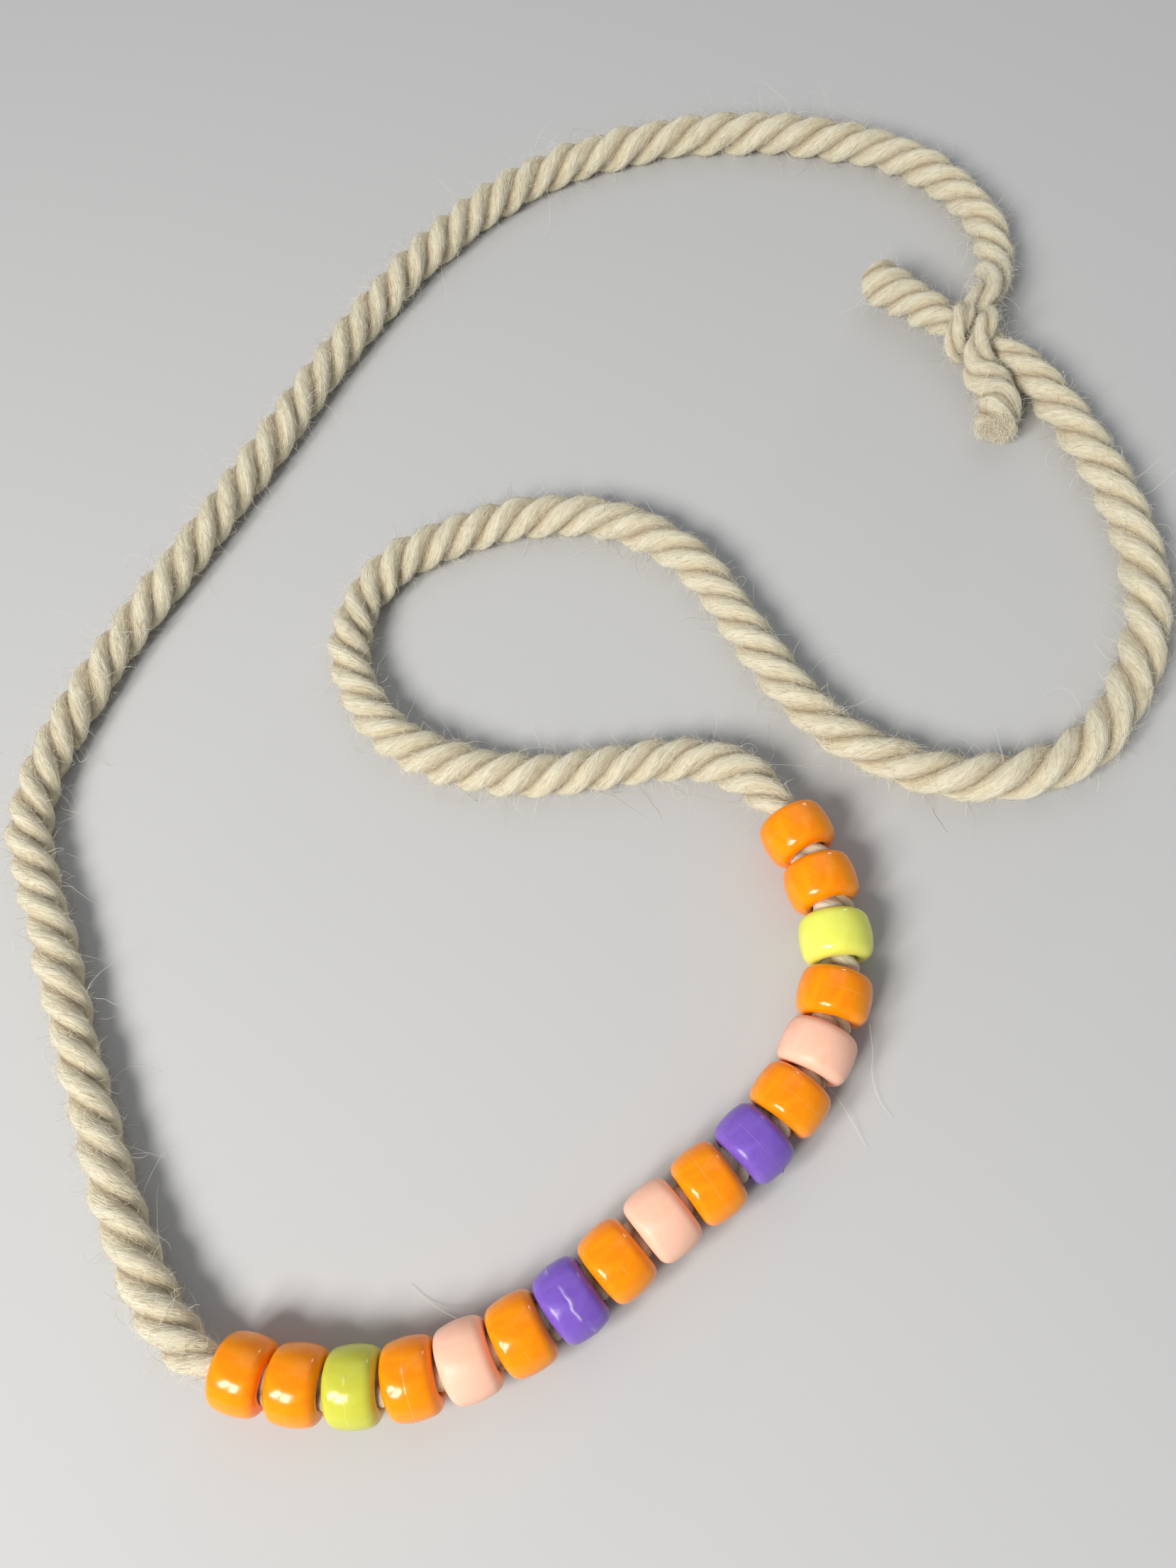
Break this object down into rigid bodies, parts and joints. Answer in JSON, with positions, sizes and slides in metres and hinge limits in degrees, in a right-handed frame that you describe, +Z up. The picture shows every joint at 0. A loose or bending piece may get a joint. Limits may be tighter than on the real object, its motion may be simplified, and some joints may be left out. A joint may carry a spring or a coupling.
{
  "type": "beaded rope loop",
  "caption": "Loop of soft twisted yarn rope, its ends tied in a half knot, with a curved row of coloured barrel beads strung on one side.",
  "frame": {"origin": "middle of the loop's outline, on the surface that it lies on", "axes": "+X to the right seen from the bead row's side, +Y away from the bead row towards the loop's far bend, +Z up"},
  "size_m": [0.1673, 0.1851, 0.0092],
  "materials": {
    "rope": "soft beige twisted yarn with a fuzzy surface",
    "bead_orange": "glossy opaque orange",
    "bead_lemon": "glossy opaque lemon yellow",
    "bead_lime": "glossy opaque yellow-green",
    "bead_peach": "matte peach",
    "bead_violet": "satin violet"
  },
  "bodies": {
    "rope": {"rope": "rope"},
    "bead_01": {"bead_01_orange": "bead_orange"},
    "bead_02": {"bead_02_orange": "bead_orange"},
    "bead_03": {"bead_03_lemon": "bead_lemon"},
    "bead_04": {"bead_04_orange": "bead_orange"},
    "bead_05": {"bead_05_peach": "bead_peach"},
    "bead_06": {"bead_06_orange": "bead_orange"},
    "bead_07": {"bead_07_violet": "bead_violet"},
    "bead_08": {"bead_08_orange": "bead_orange"},
    "bead_09": {"bead_09_peach": "bead_peach"},
    "bead_10": {"bead_10_orange": "bead_orange"},
    "bead_11": {"bead_11_violet": "bead_violet"},
    "bead_12": {"bead_12_orange": "bead_orange"},
    "bead_13": {"bead_13_peach": "bead_peach"},
    "bead_14": {"bead_14_orange": "bead_orange"},
    "bead_15": {"bead_15_lime": "bead_lime"},
    "bead_16": {"bead_16_orange": "bead_orange"},
    "bead_17": {"bead_17_orange": "bead_orange"}
  },
  "joints": [
    {"name": "bead_01_spin", "type": "hinge", "parent": "rope", "child": "bead_01", "pos_m": [0.01978, -0.03909, 0.00454], "axis": [0.1803, -0.9835, 0.0117], "continuous": true},
    {"name": "bead_02_spin", "type": "hinge", "parent": "rope", "child": "bead_02", "pos_m": [0.02047, -0.04623, 0.00456], "axis": [0.0111, -0.9999, -0.0069], "continuous": true},
    {"name": "bead_03_spin", "type": "hinge", "parent": "rope", "child": "bead_03", "pos_m": [0.0198, -0.05356, 0.00452], "axis": [-0.1906, -0.9817, -0.0049], "continuous": true},
    {"name": "bead_04_spin", "type": "hinge", "parent": "rope", "child": "bead_04", "pos_m": [0.01721, -0.06048, 0.0045], "axis": [-0.5018, -0.865, 0], "continuous": true},
    {"name": "bead_05_spin", "type": "hinge", "parent": "rope", "child": "bead_05", "pos_m": [0.01308, -0.06616, 0.0045], "axis": [-0.6679, -0.7443, 0], "continuous": true},
    {"name": "bead_06_spin", "type": "hinge", "parent": "rope", "child": "bead_06", "pos_m": [0.00818, -0.07069, 0.0045], "axis": [-0.7943, -0.6076, 0], "continuous": true},
    {"name": "bead_07_spin", "type": "hinge", "parent": "rope", "child": "bead_07", "pos_m": [0.00253, -0.07434, 0.0045], "axis": [-0.8794, -0.4761, 0], "continuous": true},
    {"name": "bead_08_spin", "type": "hinge", "parent": "rope", "child": "bead_08", "pos_m": [-0.00379, -0.07717, 0.0045], "axis": [-0.9418, -0.3363, 0], "continuous": true},
    {"name": "bead_09_spin", "type": "hinge", "parent": "rope", "child": "bead_09", "pos_m": [-0.01012, -0.07966, 0.0045], "axis": [-0.9183, -0.3959, 0], "continuous": true},
    {"name": "bead_10_spin", "type": "hinge", "parent": "rope", "child": "bead_10", "pos_m": [-0.01636, -0.08248, 0.0045], "axis": [-0.9042, -0.4271, 0], "continuous": true},
    {"name": "bead_11_spin", "type": "hinge", "parent": "rope", "child": "bead_11", "pos_m": [-0.02252, -0.08511, 0.0045], "axis": [-0.9336, -0.3582, 0], "continuous": true},
    {"name": "bead_12_spin", "type": "hinge", "parent": "rope", "child": "bead_12", "pos_m": [-0.02882, -0.08701, 0.0045], "axis": [-0.976, -0.2177, 0], "continuous": true},
    {"name": "bead_13_spin", "type": "hinge", "parent": "rope", "child": "bead_13", "pos_m": [-0.03532, -0.08808, 0.0045], "axis": [-0.9942, -0.1072, 0], "continuous": true},
    {"name": "bead_14_spin", "type": "hinge", "parent": "rope", "child": "bead_14", "pos_m": [-0.0419, -0.08827, 0.0045], "axis": [-0.9988, 0.0485, 0], "continuous": true},
    {"name": "bead_15_spin", "type": "hinge", "parent": "rope", "child": "bead_15", "pos_m": [-0.04846, -0.08736, 0.00452], "axis": [-0.9742, 0.2255, 0.0069], "continuous": true},
    {"name": "bead_16_spin", "type": "hinge", "parent": "rope", "child": "bead_16", "pos_m": [-0.05477, -0.08546, 0.00457], "axis": [-0.937, 0.3493, 0.0079], "continuous": true},
    {"name": "bead_17_spin", "type": "hinge", "parent": "rope", "child": "bead_17", "pos_m": [-0.06074, -0.08271, 0.00456], "axis": [-0.8747, 0.4845, -0.0123], "continuous": true}
  ]
}
